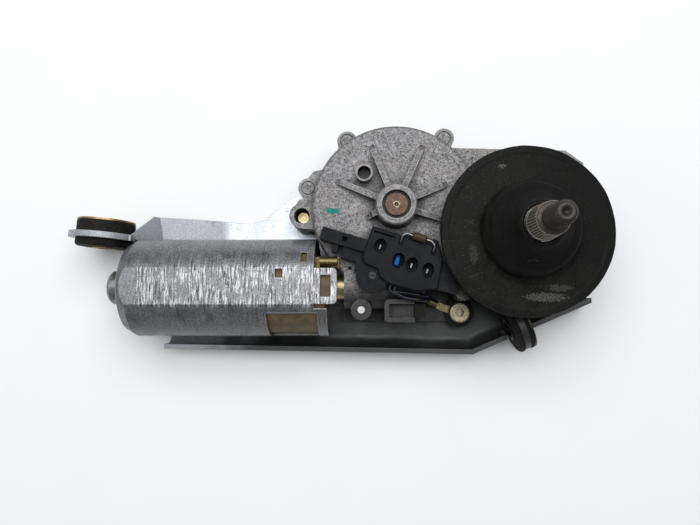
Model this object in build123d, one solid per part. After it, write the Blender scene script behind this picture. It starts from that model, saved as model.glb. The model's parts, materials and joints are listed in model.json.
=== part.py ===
from build123d import *
import math
import os

# Rear windshield wiper drive: a permanent magnet motor, a worm gearbox and a
# crank linkage that swings the wiper spindle, all carried by one pressed plate.
# Origin: on the spindle axis, at the underside of the bracket plate.
# +Z points out along the spindle, +X runs from the motor towards the spindle.

# ---- driving dimensions (mm, degrees) ----
PLATE_T = 2.0
FLANGE_H = 12.0
FLANGE_LINE = [(-150.0, -47.1), (-16.7, -49.3), (34.0, -27.35)]
ARM_BEND_X = -126.0
ARM_RISE = 11.6

WHEEL_X, WHEEL_Y = -50.0, 11.0
WHEEL_Z0, WHEEL_Z1 = 17.0, 25.0
WHEEL_TEETH = 55
WORM_PITCH = math.pi
WORM_R = 4.7
WORM_ECC = 0.9
WORM_X0 = -60.0
WORM_TURNS = 6
WORM_TUBE_R = 9.0
WORM_BORE = 6.3
TUBE_X0, TUBE_X1 = -71.0, -39.0
LEAD_SLOPE = WORM_PITCH / (2 * math.pi * WORM_R)

MOTOR_Y, MOTOR_Z = -21.0, 21.0
CAN_R = 20.2
CAN_FLAT = 18.9
CAN_WALL = 1.4
CAN_X0, CAN_X1 = -157.0, -82.4
SIDE_TONGUE_X = -77.4
NOSE_X = -165.0
NOSE_R = 7.0
END_X = -170.0

HOUSING_TOP = 23.6
GASKET_T = 0.4
COVER_Z = HOUSING_TOP + GASKET_T
COVER_FACE = 30.0
COVER_R = 34.2
BOWL_R = 29.8
HUB_R = 8.1
HUB_TOP = 40.0
AXLE_R = 4.4

SPINDLE_R = 5.0
TUBE_R = 9.5
TUBE_TOP = 55.0
KNURL_Z0, KNURL_Z1 = 63.8, 74.2
KNURL_R = 6.3
STUD_R = 4.0
STUD_TOP = 88.0

LEVER_R = 12.0
PARK_ANGLE = 33.5
ROD_LENGTH = 50.67
ROD_ANGLE = 175.82
ROD_Z0, ROD_Z1 = 5.5, 9.5
LEVER_Z0, LEVER_Z1 = 10.0, 14.0

# grommets: flange radius, and how far each face lies from the ear's middle plane
LEFT_GROMMET_R, LEFT_TOP, LEFT_BOTTOM = 12.0, 6.4, 4.6
LOWER_GROMMET_R, LOWER_TOP, LOWER_BOTTOM = 11.0, 2.8, 3.6
GROOVE_HALF = 1.25
GROOVE_DEPTH = 3.5
SLEEVE_R = 5.2
BOLT_R = 3.25
COLLAR_T = 0.8
SLEEVE_STAND = 0.4
LEFT_EAR = (-174.9, 1.0, 17.5)
LEFT_EAR_TURN = -4.5
LEFT_EAR_R = 14.8
LOWER_EAR = (1.2, -36.9, 15.4)
LOWER_EAR_TURN = -67.0

BOSSES = [(-70.0, 40.6), (-29.3, 41.5), (-86.4, 20.7)]
LOBE = (-89.0, 9.0)
GROUND = (-22.0, -31.5)
SIDE_SCREW = (-22.3, -23.0)
DOWEL_TOP = 28.6
FRAME_X, FRAME_Y, FRAME_TOP = (-54.7, -42.6), (-35.3, -26.1), 30.4
DOWEL = (-64.1, -30.3)

CONN_Z0, CONN_Z1 = 30.2, 37.4
CONN_TURN = -17.0
BARREL = (-33.6, -27.3, 10.4)
BARREL_TURN = -22.6
BARREL_L = 4.2
RUN_GAP = 0.05
CLEAR = 0.3


# ---- helpers ----
def disc(radius, z0, z1, x=0.0, y=0.0):
    """Upright cylinder between two heights."""
    return Pos(x, y, (z0 + z1) / 2) * Cylinder(radius, z1 - z0)


def ring(outer, inner, z0, z1, x=0.0, y=0.0):
    """Upright tube between two heights."""
    return disc(outer, z0, z1, x, y) - disc(inner, z0 - 1, z1 + 1, x, y)


def bar(radius, x0, x1, y=MOTOR_Y, z=MOTOR_Z):
    """Cylinder along X."""
    return Pos((x0 + x1) / 2, y, z) * Rot(0, 90, 0) * Cylinder(radius, x1 - x0)


def sleeve(outer, inner, x0, x1, y=MOTOR_Y, z=MOTOR_Z):
    """Tube along X."""
    return bar(outer, x0, x1, y, z) - bar(inner, x0 - 1, x1 + 1, y, z)


def block(x0, x1, y0, y1, z0, z1):
    """Box between two corners."""
    return Pos((x0 + x1) / 2, (y0 + y1) / 2, (z0 + z1) / 2) * Box(x1 - x0, y1 - y0, z1 - z0)


def prism(points, z0, z1):
    """Straight-sided plate with a closed outline."""
    face = make_face(Polyline(*points, close=True))
    return Pos(0, 0, z0) * extrude(face, z1 - z0)


def turned(profile):
    """Solid of revolution about Z from (radius, height) points."""
    face = make_face(Polyline(*[(r, 0, z) for r, z in profile], close=True))
    return revolve(face, Axis.Z)


def turned_x(profile):
    """Solid of revolution about the motor axis from (x, radius) points."""
    face = make_face(Polyline(*[(x, 0, r) for x, r in profile], close=True))
    return Pos(0, MOTOR_Y, MOTOR_Z) * revolve(face, Axis.X)


def polar(radius, angle, x=0.0, y=0.0):
    """Point at an angle in degrees round a centre."""
    turn = math.radians(angle)
    return (x + radius * math.cos(turn), y + radius * math.sin(turn))


def upright(edges):
    """The edges that run along Z."""
    return edges.filter_by(Axis.Z)


def in_ear(shape, ear, turn):
    """Put a shape made round the Y axis into an ear's own frame."""
    return Pos(*ear) * Rot(0, 0, turn) * shape


def y_disc(radius, y0, y1):
    """Cylinder along Y, about the origin."""
    return Pos(0, (y0 + y1) / 2, 0) * Rot(90, 0, 0) * Cylinder(radius, y1 - y0)


def wire_tube(points, radius, bends):
    """Round wire along straight runs joined by tangent arcs."""
    path = FilletPolyline(*points, radius=bends)
    start = path.location_at(0)
    return sweep(Plane(start.position, z_dir=path.tangent_at(0)) * Circle(radius), path=path)


LEFT_GROMMET = (LEFT_GROMMET_R, LEFT_TOP, LEFT_BOTTOM, LEFT_EAR, LEFT_EAR_TURN)
LOWER_GROMMET = (LOWER_GROMMET_R, LOWER_TOP, LOWER_BOTTOM, LOWER_EAR, LOWER_EAR_TURN)
LEVER_PIN = polar(LEVER_R, PARK_ANGLE)
ROD_END = polar(ROD_LENGTH, ROD_ANGLE, *LEVER_PIN)
CRANK_PIN = ROD_END


# ---- bracket ----
def bracket_plate():
    """Pressed steel plate with an upturned lower flange and two grommet ears."""
    outline = [(-160, -39.5), (-161, -8), (ARM_BEND_X, -3.5), (ARM_BEND_X, 9.6), (-115.2, 8.7),
               (-108, 10.5), (-97, 19.5), (-91, 22.5), (-84, 24), (-74, 34), (-66, 37), (-34, 37),
               (-20, 34), (18, 33), (30, 27), (39, 8), (40, -10), (34, -16), (26, -20), (-18, -41.5)]
    sheet = prism(outline, 0, PLATE_T)
    for x, y in BOSSES:
        sheet += disc(4.2, 0, PLATE_T, x, y)
    sheet += disc(9, 0, PLATE_T, -66, 35)
    sheet += disc(9, 0, PLATE_T, -33, 35)
    sheet += lower_flange()
    sheet += raised_arm() + left_ear() + lower_ear()
    for x, y in BOSSES:
        sheet -= Pos(x, y, PLATE_T / 2) * Cone(3.9, 2.1, PLATE_T)
    sheet -= disc(2.1, -1, PLATE_T + 1, *LOBE)
    return sheet


def flange_run(section, start, end, over):
    """Straight length of the flange's section between two points, run on at both ends."""
    (x0, y0), (x1, y1) = start, end
    angle = math.degrees(math.atan2(y1 - y0, x1 - x0))
    run = extrude(Plane.YZ * section, math.dist(start, end) + 2 * over, dir=(1, 0, 0))
    return Pos(x0, y0, 0) * Rot(0, 0, angle) * Pos(-over, 0, 0) * run, angle


def lower_flange():
    """Flange along the lower edge: a flat, a wide bend and an upright edge, with a mitred corner."""
    outer_bend, inner_bend, depth = 7.0, 5.0, 11.0
    section = make_face(
        Line((depth, 0), (outer_bend, 0))
        + RadiusArc((outer_bend, 0), (0, outer_bend), outer_bend)
        + Line((0, outer_bend), (0, FLANGE_H))
        + Line((0, FLANGE_H), (PLATE_T, FLANGE_H))
        + Line((PLATE_T, FLANGE_H), (PLATE_T, outer_bend))
        + RadiusArc((PLATE_T, outer_bend), (outer_bend, PLATE_T), -inner_bend)
        + Line((outer_bend, PLATE_T), (depth, PLATE_T))
        + Line((depth, PLATE_T), (depth, 0))
    )
    first, corner, last = FLANGE_LINE
    left, left_angle = flange_run(section, first, corner, 10.0)
    right, right_angle = flange_run(section, corner, last, 10.0)
    keep = 200.0
    mitre = Pos(*corner, 0) * Rot(0, 0, (left_angle + right_angle) / 2)
    left &= mitre * block(-keep, 0, -keep, keep, -1, 20)
    left &= block(first[0], keep, -keep, keep, -1, 20)
    right &= mitre * block(0, keep, -keep, keep, -1, 20)
    right &= block(-keep, last[0], -keep, keep, -1, 20)
    room = y_disc(LOWER_GROMMET_R + 0.8, -LOWER_BOTTOM - 1.5, LOWER_TOP + 1.8)
    relief = in_ear(room, LOWER_EAR, LOWER_EAR_TURN)
    return left + right - relief


def raised_arm():
    """Arm beside the motor that climbs to the left ear, and the steep ramp at the ear's root."""
    slope = Pos(ARM_BEND_X, 0, 0) * Rot(0, ARM_RISE, 0) * block(-45, 0, -10, 20, 0, PLATE_T)
    arm = slope & prism([(ARM_BEND_X + 1, -3.5), (-160.4, -3.0), (-162.0, 0.8), (-156.2, 11.0),
                         (-135.0, 10.2), (ARM_BEND_X + 1, 9.6)], -1, 20)
    steep = make_face(Polyline((0.6, 0, 6.6), (-10, 0, 25.6), (-10, 0, 21.6), (-1.6, 0, 6.6), close=True))
    ramp = Pos(-152.5, -3, 0) * Rot(0, 0, 8) * Pos(0, 20, 0) * extrude(steep, 40, dir=(0, -1, 0))
    ramp &= prism([(-162.0, 0.8), (-159.6, -1.0), (-151.0, -1.0), (-150.0, 10.6), (-156.2, 11.0)], 0, 25)
    return arm + ramp


def left_ear():
    """Upright ear at the end of the arm, with the grommet hole."""
    ear = y_disc(LEFT_EAR_R, -GROOVE_HALF, GROOVE_HALF)
    ear += block(0, 14.0, -GROOVE_HALF, GROOVE_HALF, -10.0, 7)
    ear -= y_disc(LEFT_GROMMET_R - GROOVE_DEPTH, -GROOVE_HALF - 1, GROOVE_HALF + 1)
    return in_ear(ear, LEFT_EAR, LEFT_EAR_TURN)


def lower_ear():
    """Upright ear beside the spindle, with the second grommet hole."""
    centre_z = LOWER_EAR[2]
    ear = y_disc(LOWER_GROMMET_R - 0.4, -GROOVE_HALF, GROOVE_HALF)
    ear += block(-7, 9, -GROOVE_HALF, GROOVE_HALF, -centre_z, -5)
    ear -= y_disc(LOWER_GROMMET_R - GROOVE_DEPTH, -GROOVE_HALF - 1, GROOVE_HALF + 1)
    return in_ear(ear, LOWER_EAR, LOWER_EAR_TURN)


def grommet(radius, top, bottom, ear, turn):
    """Rubber grommet: two flanges either side of the ear, and a bore for the sleeve."""
    groove = radius - GROOVE_DEPTH
    outline = [(SLEEVE_R, -bottom), (radius - 1.2, -bottom), (radius, -bottom + 1.0),
               (radius, -GROOVE_HALF), (groove, -GROOVE_HALF), (groove, GROOVE_HALF),
               (radius, GROOVE_HALF), (radius, top - 0.6), (radius - 0.6, top), (SLEEVE_R, top)]
    return in_ear(Rot(-90, 0, 0) * turned(outline), ear, turn)


def grommet_sleeve(radius, top, bottom, ear, turn):
    """Steel spacer sleeve with a thin collar that covers the grommet's outer face."""
    shape = y_disc(SLEEVE_R, -bottom - SLEEVE_STAND, top) + y_disc(radius - 0.2, top, top + COLLAR_T)
    shape -= y_disc(BOLT_R, -bottom - 1, top + 2)
    return in_ear(shape, ear, turn)


# ---- gearbox castings ----
def extension_outline(inset):
    """Outline of the casting round the spindle, drawn in by an inset."""
    i = inset
    return [(-40, 37.8 - i), (21 - 0.4 * i, 35.8 - i), (28 - i, 30.5 - 0.6 * i), (33 - i, 12),
            (30 - i, -8 + 0.4 * i), (20 - 0.6 * i, -19.5 + i), (-40, -20.5 + i)]


def gear_housing():
    """Die-cast lower case: wheel bowl, worm tube, linkage space and spindle tube."""
    case = disc(33.5, PLATE_T, HOUSING_TOP, WHEEL_X, WHEEL_Y)
    case += prism(extension_outline(0), PLATE_T, HOUSING_TOP)
    for x, y in BOSSES:
        case += disc(4.2, PLATE_T, HOUSING_TOP, x, y)
    case += prism([(-84, 27.9), (-90.6, 20.5), (-88, 15), (-70, 15), (-72, 30)], 14, HOUSING_TOP)
    case += disc(5.3, PLATE_T, HOUSING_TOP, *LOBE)
    case += prism([(-94.2, 10), (-90, 16), (-78, 16), (-78, 2.5), (-90, 3.8)], 14, HOUSING_TOP)
    case += bar(WORM_TUBE_R, TUBE_X0, TUBE_X1) & block(-72, -25, -40, 0, 5, HOUSING_TOP)
    case += block(TUBE_X0, -66, -29.5, -10.7, PLATE_T, 20)
    case += block(-54, TUBE_X1, -29.5, -11, PLATE_T, 16)
    case += block(-73.3, -26, -35.3, -29, PLATE_T, 8)
    case += disc(4.2, PLATE_T, HOUSING_TOP, *DOWEL) + disc(6.4, PLATE_T, 8, *GROUND)
    case += block(*FRAME_X, *FRAME_Y, PLATE_T, HOUSING_TOP)
    case += disc(3.7, PLATE_T, HOUSING_TOP, *SIDE_SCREW)
    case += block(TUBE_X0, -63.8, -20, -9.5, 20, HOUSING_TOP)
    # hollow spaces
    case -= disc(BOWL_R, 4.7, HOUSING_TOP + 1, WHEEL_X, WHEEL_Y)
    cavity = prism(extension_outline(3), PLATE_T - 1, 20.6)
    cavity -= disc(33.5, 0, 30, WHEEL_X, WHEEL_Y)
    cavity -= block(-45, -16, -40, -10, 0, 30)
    case -= cavity
    case -= block(-30, -12, -1, 24, PLATE_T - 1, 15.5)
    case -= bar(WORM_BORE, TUBE_X0 - 1, -40.2) + bar(3.0, -42, TUBE_X1 + 2)
    case -= block(-66, -41, -21, -10, MOTOR_Z - 5.8, HOUSING_TOP + 1)
    # spindle tube
    case += disc(TUBE_R, 15.2, TUBE_TOP) + disc(12.5, 20, 30)
    case -= disc(SPINDLE_R + 1.5, 15, TUBE_TOP + 1)
    case -= disc(6.7, 8.0, 13.0, *GROUND)
    for x, y in BOSSES:
        case -= disc(2.0, 0, HOUSING_TOP - 0.6, x, y)
        case -= ring(3.1, 2.4, HOUSING_TOP - 0.5, HOUSING_TOP + 1, x, y)
    case -= disc(3.3, 14, HOUSING_TOP + 1, *LOBE) + disc(1.9, 0, 15, *LOBE)
    case -= disc(1.5, 6, 24, *DOWEL) + disc(2.0, 3, 12, *GROUND) + disc(1.6, 15, 24, *SIDE_SCREW)
    return case


def socket_frame():
    """Small cast frame on the worm tube's side, open towards the spindle, with a pocket inside."""
    x0, x1 = FRAME_X
    y0, y1 = FRAME_Y
    frame = block(x0, x1, y0, y1, COVER_Z, FRAME_TOP)
    frame = fillet(upright(frame.edges()).group_by(Axis.X)[0], 1.8)
    return frame - block(x0 + 1.9, x1 + 1, y0 + 1.8, y1 - 1.9, FRAME_TOP - 3.5, FRAME_TOP + 1)


def gearbox_cover():
    """Die-cast upper case with the bearing hub, stiffening ribs and a breather spigot."""
    cx, cy = WHEEL_X, WHEEL_Y
    drum = disc(COVER_R, COVER_Z, COVER_FACE, cx, cy)
    drum = fillet(drum.edges().group_by(Axis.Z)[-1], 1.4)
    lobe = bar(WORM_TUBE_R, TUBE_X0, TUBE_X1) & block(-80, -20, -40, 0, COVER_Z, 40)
    cover = drum + lobe + block(TUBE_X0, -63.8, -20, -9.5, COVER_Z, COVER_FACE)
    cover += turned([(0, 28), (HUB_R + 0.8, 28), (HUB_R + 0.5, COVER_FACE), (HUB_R, HUB_TOP - 0.6),
                     (HUB_R - 0.6, HUB_TOP), (0, HUB_TOP)]).moved(Location((cx, cy, 0)))
    for x, y in [(-60.3, 37.8), (-38.4, 37.6), (-75.0, 22.7), (-28.2, 21.1), (-25.0, 4.5), (-63.2, 6.6)]:
        cover += cover_rib(x - cx, y - cy).moved(Location((cx, cy, 0)))
    cover += disc(3.5, 28, 35, -62.7, 24.6)
    cover += bead() + socket_frame() + disc(4.2, COVER_Z, DOWEL_TOP, *DOWEL)
    cover -= disc(BOWL_R, COVER_Z - 1, 27.5, cx, cy)
    cover -= bar(WORM_BORE, TUBE_X0 - 1, -40.2) & block(-80, -20, -40, 0, COVER_Z - 1, 40)
    cover -= block(-66, -41, -21, -10, COVER_Z - 1, 27.3) + disc(0.8, 27, 31, -68.6, -13.5)
    cover -= disc(5.7, 27, 41, cx, cy) + disc(6.3, 27, 37.8, cx, cy)
    cover -= disc(2.7, 30.2, 36, -62.7, 24.6) + disc(1.5, COVER_Z - 1, DOWEL_TOP + 1, *DOWEL)
    return cover


def cover_rib(dx, dy):
    """Radial rib, tall at the hub and running out into the face."""
    reach = math.hypot(dx, dy)
    side = make_face(Polyline((6, 0, 29), (6, 0, 37), (HUB_R + 2, 0, 35), (reach - 3, 0, 31.6),
                              (reach, 0, 29.5), (reach, 0, 29), close=True))
    rib = extrude(side, 1.2, dir=(0, 1, 0), both=True)
    return Rot(0, 0, math.degrees(math.atan2(dy, dx))) * rib


def bead():
    """Short raised bead along the cover's edge."""
    arc = ring(31.8, 30.8, 29.5, 30.5, WHEEL_X, WHEEL_Y)
    start, end = polar(60, 26, WHEEL_X, WHEEL_Y), polar(60, 46, WHEEL_X, WHEEL_Y)
    return arc & prism([(WHEEL_X, WHEEL_Y), start, end], 29, 31)


def cover_gasket():
    """Thin gasket between the castings."""
    flat = disc(33.3, HOUSING_TOP, COVER_Z, WHEEL_X, WHEEL_Y)
    return flat - disc(BOWL_R + 0.4, HOUSING_TOP - 1, COVER_Z + 1, WHEEL_X, WHEEL_Y) \
        - block(TUBE_X0 - 1, -26, -40, -9.5, 20, 30)


def housing_screws():
    """Three countersunk screws up through the plate into the casting bosses."""
    screws = []
    for x, y in BOSSES:
        head = Pos(x, y, PLATE_T / 2) * Cone(3.8, 2.0, PLATE_T)
        screws.append(head + disc(1.95, PLATE_T / 2, HOUSING_TOP - 0.6, x, y) - disc(1.2, -1, 0.8, x, y))
    return Compound(children=screws)


def lobe_screw():
    """Pan head screw deep in the counterbore of the side lobe."""
    x, y = LOBE
    screw = disc(2.3, 14, 17.2, x, y) + disc(1.8, PLATE_T + 0.2, 14, x, y)
    screw = screw - (Pos(x, y, 17) * extrude(RegularPolygon(1.3, 6), 1))
    return screw


# ---- motor ----
def can_shell(radius, flat, x0, x1):
    """Round bar with flats above and below the motor axis."""
    return bar(radius, x0, x1) & block(x0, x1, -60, 20, MOTOR_Z - flat, MOTOR_Z + flat)


def motor_can():
    """Drawn steel can with a domed bearing end, crimp tongues and windows."""
    nose = turned_x([(CAN_X0, 0), (CAN_X0, CAN_R), (NOSE_X + 4.3, CAN_R - 2.2), (NOSE_X + 2.2, 13.6),
                     (NOSE_X, NOSE_R + 1.4), (NOSE_X, 0)])
    nose = nose & block(NOSE_X - 1, CAN_X0, -60, 20, MOTOR_Z - CAN_FLAT, MOTOR_Z + CAN_FLAT)
    boss = turned_x([(NOSE_X, 0), (NOSE_X, NOSE_R), (END_X + 1.6, NOSE_R), (END_X + 0.4, 6.0),
                     (END_X, 4.8), (END_X, 0)])
    can = can_shell(CAN_R, CAN_FLAT, CAN_X0, CAN_X1) + nose + boss
    inner = can_shell(CAN_R - CAN_WALL, CAN_FLAT - CAN_WALL, CAN_X0, CAN_X1 + 1)
    inner_nose = turned_x([(CAN_X0, 0), (CAN_X0, CAN_R - CAN_WALL), (NOSE_X + 5.5, CAN_R - 5),
                           (NOSE_X + 3, 11.5), (NOSE_X + 1.4, 7.5), (NOSE_X + 1.4, 0)])
    flat = CAN_FLAT - CAN_WALL
    inner_nose = inner_nose & block(NOSE_X, CAN_X0, -60, 20, MOTOR_Z - flat, MOTOR_Z + flat)
    can = can - inner - inner_nose - bar(5.2, END_X + 1.4, NOSE_X + 2)
    can += crimp_tongue(-1) + crimp_tongue(1) + side_tongue()
    can -= block(-97.5, -94.6, MOTOR_Y + 3.3, MOTOR_Y + 6.7, MOTOR_Z + 10, MOTOR_Z + 25)
    can -= block(-101.4, SIDE_TONGUE_X - 3.8, -45, MOTOR_Y - 10.4, MOTOR_Z - 2, MOTOR_Z + 17.2)
    can -= block(-87.7, -85.2, -11.5, -7.6, 30, 42)
    return can


def crimp_tongue(side):
    """Tongue of the can that folds over the brush holder, with its window."""
    z0 = MOTOR_Z + side * CAN_FLAT
    z1 = z0 - side * CAN_WALL
    low, high = min(z0, z1), max(z0, z1)
    tongue = block(CAN_X1 - 3, -73.4, MOTOR_Y - 7.0, MOTOR_Y + 7.0, low, high)
    corners = tongue.edges().filter_by(Axis.Z).group_by(Axis.X)[-1]
    tongue = fillet(corners, 1.8)
    return tongue - block(-79.9, -75.8, MOTOR_Y - 4.2, MOTOR_Y + 4.2, low - 1, high + 1)


def side_tongue():
    """Lower side of the can, carried on past its end to close the window there."""
    x0 = CAN_X1 - 1
    shell = can_shell(CAN_R, CAN_FLAT, x0, SIDE_TONGUE_X)
    shell -= can_shell(CAN_R - CAN_WALL, CAN_FLAT - CAN_WALL, x0 - 1, SIDE_TONGUE_X + 1)
    return shell & block(x0, SIDE_TONGUE_X, -45, MOTOR_Y - 8.8, MOTOR_Z - 6, MOTOR_Z + 18.3)


def field_magnets():
    """Two ferrite arcs on the round sides of the can."""
    parts = []
    for side in (-1, 1):
        arc = sleeve(CAN_R - CAN_WALL, 13.6, -150, -106)
        wedge = block(-151, -105, MOTOR_Y + min(side * 4, side * 30), MOTOR_Y + max(side * 4, side * 30),
                      MOTOR_Z - 11.5, MOTOR_Z + 11.5)
        parts.append(arc & wedge)
    return Compound(children=parts)


def rear_bearing():
    """Ball-shaped sintered bush in the can's end boss."""
    return sleeve(5.2, 2.5 + RUN_GAP, NOSE_X - 3.5, NOSE_X + 1.0)


def armature_shaft():
    """Motor shaft in one piece with the worm at its far end."""
    shaft = bar(2.5, END_X + 2.6, -66) + bar(3.4, -67, WORM_X0)
    return shaft + worm_thread() + bar(2.5, WORM_X0 + WORM_TURNS * WORM_PITCH, -40.3)


def worm_thread():
    """Single start worm: an off-centre round section, turned as it runs along the shaft."""
    length = WORM_TURNS * WORM_PITCH
    face = Plane((0, 0, 0), x_dir=(0, 1, 0), z_dir=(1, 0, 0)) * Pos(WORM_ECC, 0) * Circle(WORM_R)
    twisted = Solid.extrude_linear_with_rotation(
        face.face(), (0, 0, 0), (length, 0, 0), WORM_TURNS * 360)
    phase = math.degrees(2 * math.pi * (WHEEL_X - WORM_X0) / WORM_PITCH)
    return Pos(WORM_X0, MOTOR_Y, MOTOR_Z) * Rot(-phase, 0, 0) * twisted


def armature_core():
    """Slotted lamination stack."""
    core = sleeve(12.6, 2.5, -148, -110)
    for k in range(10):
        slot = block(-149, -109, -1.2, 1.2, 6.0, 11.4) + block(-149, -109, -0.5, 0.5, 11, 14)
        core -= Pos(0, MOTOR_Y, MOTOR_Z) * Rot(36 * k + 18, 0, 0) * slot
    return core


def armature_windings():
    """Copper coils: the end turns, and the sides that lie in the slots."""
    end_turns = turned_x([(-154, 5), (-154, 9), (-152, 11), (-148, 11.2), (-148, 3.4), (-152, 3.4)])
    front = turned_x([(-110, 3.4), (-110, 11.2), (-106, 11), (-104, 9), (-104, 5), (-106, 3.4)])
    coils = end_turns + front
    for k in range(10):
        side = block(-148.2, -109.8, -1.1, 1.1, 6.2, 11.2)
        coils += Pos(0, MOTOR_Y, MOTOR_Z) * Rot(36 * k + 18, 0, 0) * side
    return coils


def commutator():
    """Copper segments on the shaft, parted by narrow slits."""
    drum = sleeve(6.2, 2.5, -100, -89) + sleeve(7.4, 2.5, -102, -100)
    for k in range(10):
        drum -= Pos(0, MOTOR_Y, MOTOR_Z) * Rot(36 * k, 0, 0) * block(-103, -88, -0.25, 0.25, 5.2, 8)
    return drum


def brush_holder():
    """Moulded end of the motor: a ring wall, an end face, a core and two brush boxes."""
    flat = CAN_FLAT - CAN_WALL - 0.1
    holder = can_shell(CAN_R - CAN_WALL - 0.1, flat, -102, -83)
    holder -= can_shell(CAN_R - CAN_WALL - 2.2, flat - 2, -103, -84.5)
    holder += block(-84.5, -76, MOTOR_Y - 6.9, MOTOR_Y + 6.9, MOTOR_Z - flat, MOTOR_Z + flat)
    cheek = can_shell(CAN_R - CAN_WALL - 0.1, flat, -84.5, SIDE_TONGUE_X - 1.0)
    holder += cheek & block(-85, -76, -45, MOTOR_Y - 6, MOTOR_Z - 6, MOTOR_Z + 18)
    for side in (-1, 1):
        box = block(-98, -84, -4, 4, 7.4, 15.9) - block(-96, -86, -2.6, 2.6, 6.0, 16.5)
        holder += Pos(0, MOTOR_Y, MOTOR_Z) * Rot(90 * side, 0, 0) * box
    return holder - bar(5.2, -90, -75)


def carbon_brushes():
    """Two brushes that bear on the commutator."""
    parts = []
    for side in (-1, 1):
        brush = block(-95.8, -90, -2.4, 2.4, 6.2 + CLEAR, 12)
        parts.append(Pos(0, MOTOR_Y, MOTOR_Z) * Rot(90 * side, 0, 0) * brush)
    return Compound(children=parts)


def brush_springs():
    """Coil springs behind the brushes, as closed barrels."""
    parts = []
    for side in (-1, 1):
        spring = disc(1.9, 12, 15.8, -92.9, 0) - disc(1.1, 11, 17, -92.9, 0)
        parts.append(Pos(0, MOTOR_Y, MOTOR_Z) * Rot(90 * side, 0, 0) * spring)
    return Compound(children=parts)


def front_bearing():
    """Flanged bush at the gearbox end of the motor."""
    return sleeve(5.1, 2.5 + RUN_GAP, -79.5, TUBE_X0 - 0.05) + sleeve(6.4, 2.5 + RUN_GAP, -75.9, -74.4)


def brush_terminal():
    """Folded copper lug beside the bush."""
    return block(-83.0, -82.0, -13.5, -9.0, 26, 31.4) + block(-82.0, -73.0, -13.5, -9.0, 30.6, 31.4)


def choke_coil():
    """Suppression choke, a small wound barrel on the lug."""
    return sleeve(2.2, 0.6, -80.5, -73.5, -11.2, 33.7)


# ---- gear train ----
def worm_wheel():
    """Moulded wheel: slanted teeth, a recessed web and a thick hub for the crank pin."""
    width = WHEEL_Z1 - WHEEL_Z0
    wheel = disc(26.0, WHEEL_Z0, WHEEL_Z1)
    wheel -= ring(22.0, 14.2, WHEEL_Z0 - 1, WHEEL_Z0 + 2.5) + ring(22.0, 14.2, WHEEL_Z1 - 2, WHEEL_Z1 + 1)
    tip, root, root_r, tip_r = 0.2, 0.95, 25.8, 27.85
    tooth = make_face(Polyline((root_r, -root), (tip_r, -tip), (tip_r, tip), (root_r, root), close=True))
    shift = LEAD_SLOPE * width / 2
    tooth = Pos(0, -shift, WHEEL_Z0) * extrude(tooth, math.hypot(width, 2 * shift),
                                               dir=(0, 2 * shift, width))
    teeth = [Rot(0, 0, -90 + (k + 0.5) * 360 / WHEEL_TEETH) * tooth for k in range(WHEEL_TEETH)]
    wheel = wheel + teeth
    wheel -= disc(AXLE_R, WHEEL_Z0 - 1, WHEEL_Z1 + 1)
    pin = (CRANK_PIN[0] - WHEEL_X, CRANK_PIN[1] - WHEEL_Y)
    wheel -= disc(3.0, WHEEL_Z0 - 1, WHEEL_Z1 - 2, *pin)
    return Pos(WHEEL_X, WHEEL_Y, 0) * wheel


def wheel_axle():
    """Steel axle pressed into the wheel, with a centre punch in its end."""
    axle = disc(AXLE_R, WHEEL_Z0, 39.2, WHEEL_X, WHEEL_Y)
    return axle - Pos(WHEEL_X, WHEEL_Y, 38.8) * Cone(0.2, 1.0, 1.0)


def hub_bush():
    """Bronze bush pressed into the cover's hub."""
    return ring(6.3, AXLE_R + RUN_GAP, 27.6, 37.8, WHEEL_X, WHEEL_Y)


def hub_washer():
    """Thrust washer between the wheel and the hub bush."""
    return ring(8.0, AXLE_R + RUN_GAP, 25.5, 27.3, WHEEL_X, WHEEL_Y)


def crank_pin():
    """Pin pressed into the wheel; it stops just above the rod's eye."""
    return disc(3.0, ROD_Z1 + CLEAR, WHEEL_Z1 - 2, *CRANK_PIN)


def contact_disc():
    """Thin brass ring for the park switch, in the wheel's recess."""
    plate = ring(21.5, 15.0, WHEEL_Z1 - 2, WHEEL_Z1 - 1.6, WHEEL_X, WHEEL_Y)
    return plate - block(WHEEL_X + 12, WHEEL_X + 19, WHEEL_Y - 3, WHEEL_Y + 3, 20, 26)


def park_contacts():
    """Spring fingers under the cover that read the contact disc."""
    fingers = []
    for k, radius in enumerate((16.0, 18.2, 20.4)):
        strip = block(-7, 5, radius - 0.7, radius + 0.7, 27.0, 27.4)
        tip = block(3.8, 5, radius - 0.7, radius + 0.7, WHEEL_Z1 - 1.3, 27.2)
        fingers.append(Pos(WHEEL_X, WHEEL_Y, 0) * Rot(0, 0, 190) * (strip + tip))
    return Compound(children=fingers)


# ---- linkage and spindle ----
def connecting_rod():
    """Flat link with an eye at each end."""
    (x0, y0), (x1, y1) = LEVER_PIN, ROD_END
    link = disc(5.5, ROD_Z0, ROD_Z1, x0, y0) + disc(5.5, ROD_Z0, ROD_Z1, x1, y1)
    shank = block(-ROD_LENGTH / 2, ROD_LENGTH / 2, -3.5, 3.5, ROD_Z0, ROD_Z1)
    link += Pos((x0 + x1) / 2, (y0 + y1) / 2, 0) * Rot(0, 0, ROD_ANGLE) * shank
    return link - disc(3.0 + RUN_GAP, 0, 20, x0, y0) - disc(3.0 + RUN_GAP, 0, 20, x1, y1)


def rocker_lever():
    """Lever fixed to the spindle's inner end."""
    x, y = LEVER_PIN
    lever = disc(8.5, LEVER_Z0, LEVER_Z1) + disc(5.2, LEVER_Z0, LEVER_Z1, x, y)
    lever += Rot(0, 0, PARK_ANGLE) * block(0, LEVER_R, -5.0, 5.0, LEVER_Z0, LEVER_Z1)
    return lever - disc(SPINDLE_R, 5, 20) - disc(3.0, 5, 20, x, y)


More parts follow.
